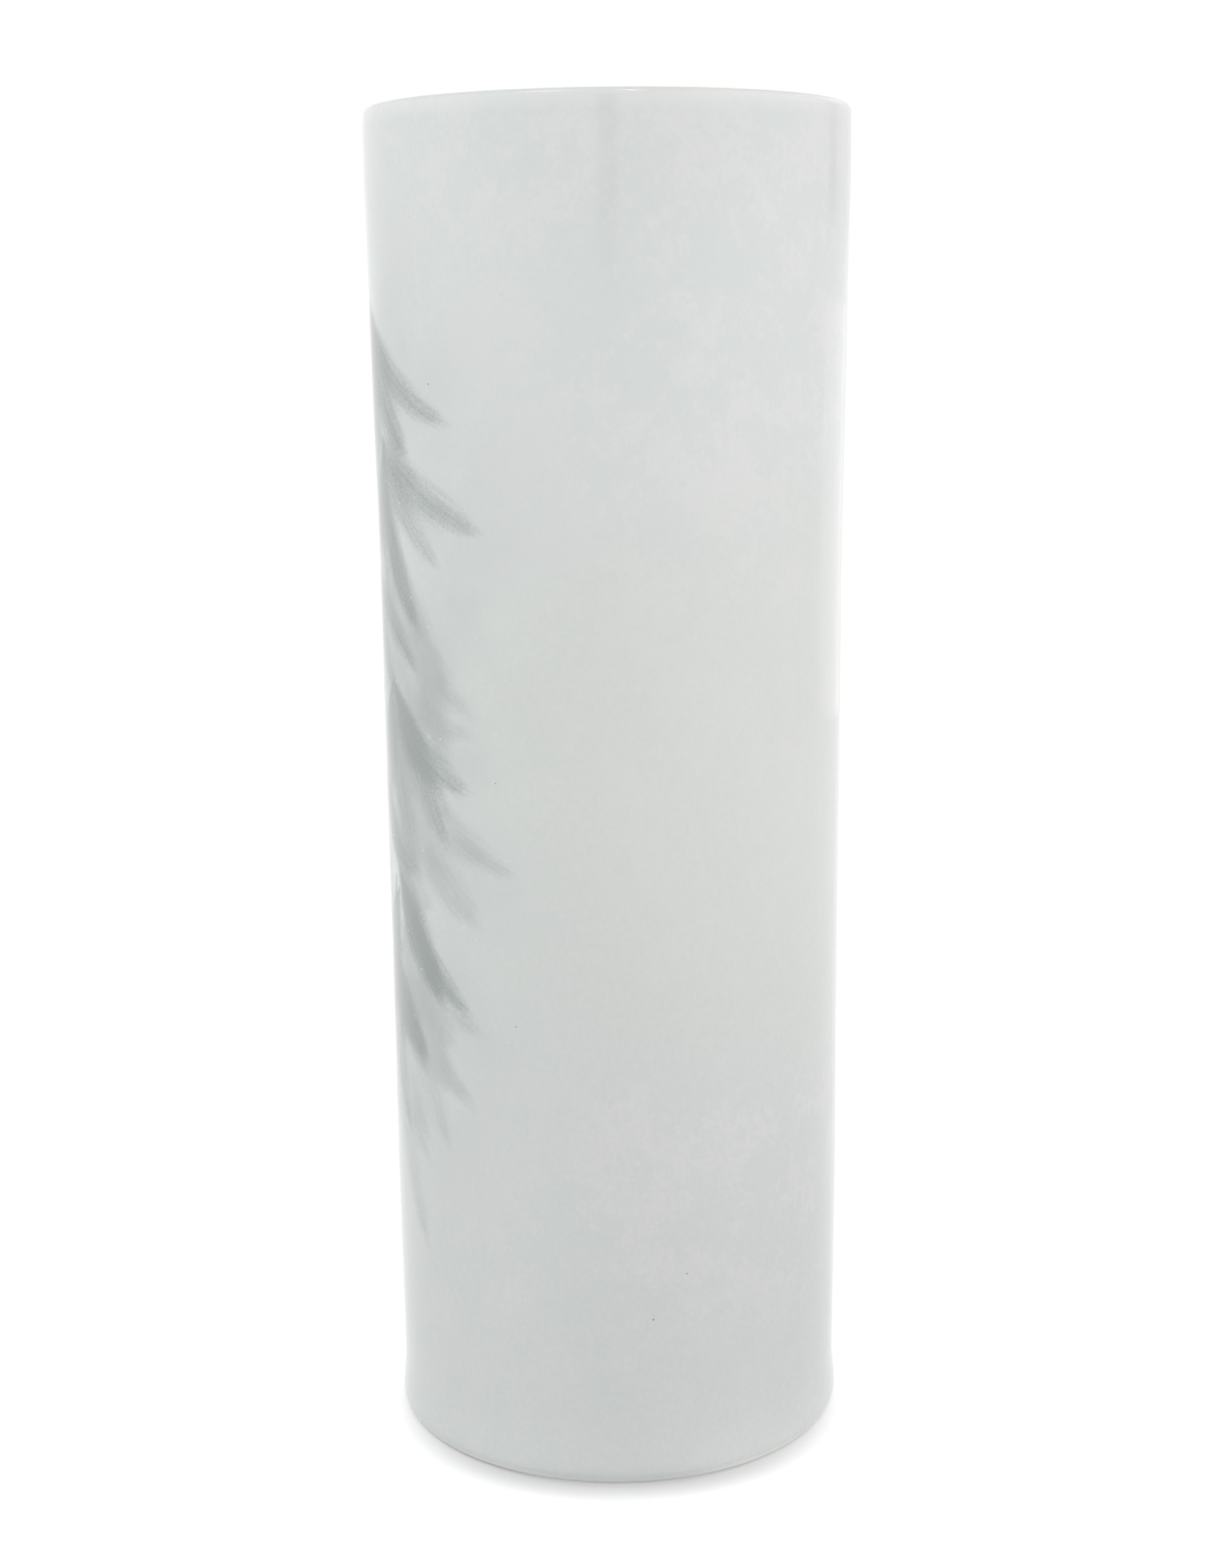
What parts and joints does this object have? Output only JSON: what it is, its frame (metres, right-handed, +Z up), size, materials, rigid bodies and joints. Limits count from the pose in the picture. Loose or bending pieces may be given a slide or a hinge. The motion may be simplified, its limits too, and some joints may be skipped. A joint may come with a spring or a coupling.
{
  "type": "cylindrical vase",
  "caption": "Tall free-standing cylindrical porcelain vase with a rounded lip, a slight flare, a turned foot ring and a glossy pale celadon glaze.",
  "frame": {"origin": "centre of the foot ring, on the surface that the vase stands on", "axes": "+Z up along the vase's axis of revolution; -Y faces the viewer of the picture"},
  "size_m": [0.1108, 0.1108, 0.31],
  "materials": {
    "porcelain": "bare fired porcelain, fine and matt, turned",
    "slip": "fired slip, matt",
    "celadon_glaze": "glossy pale celadon glaze over soft grey-green brush painting",
    "lining_glaze": "glossy pale celadon glaze, poured"
  },
  "bodies": {
    "root": {"foot_section": "porcelain", "lower_seam_slip": "slip", "middle_section": "porcelain", "upper_seam_slip": "slip", "top_section": "porcelain", "outer_glaze": "celadon_glaze", "inner_glaze": "lining_glaze", "base_glaze": "lining_glaze"}
  },
  "joints": []
}
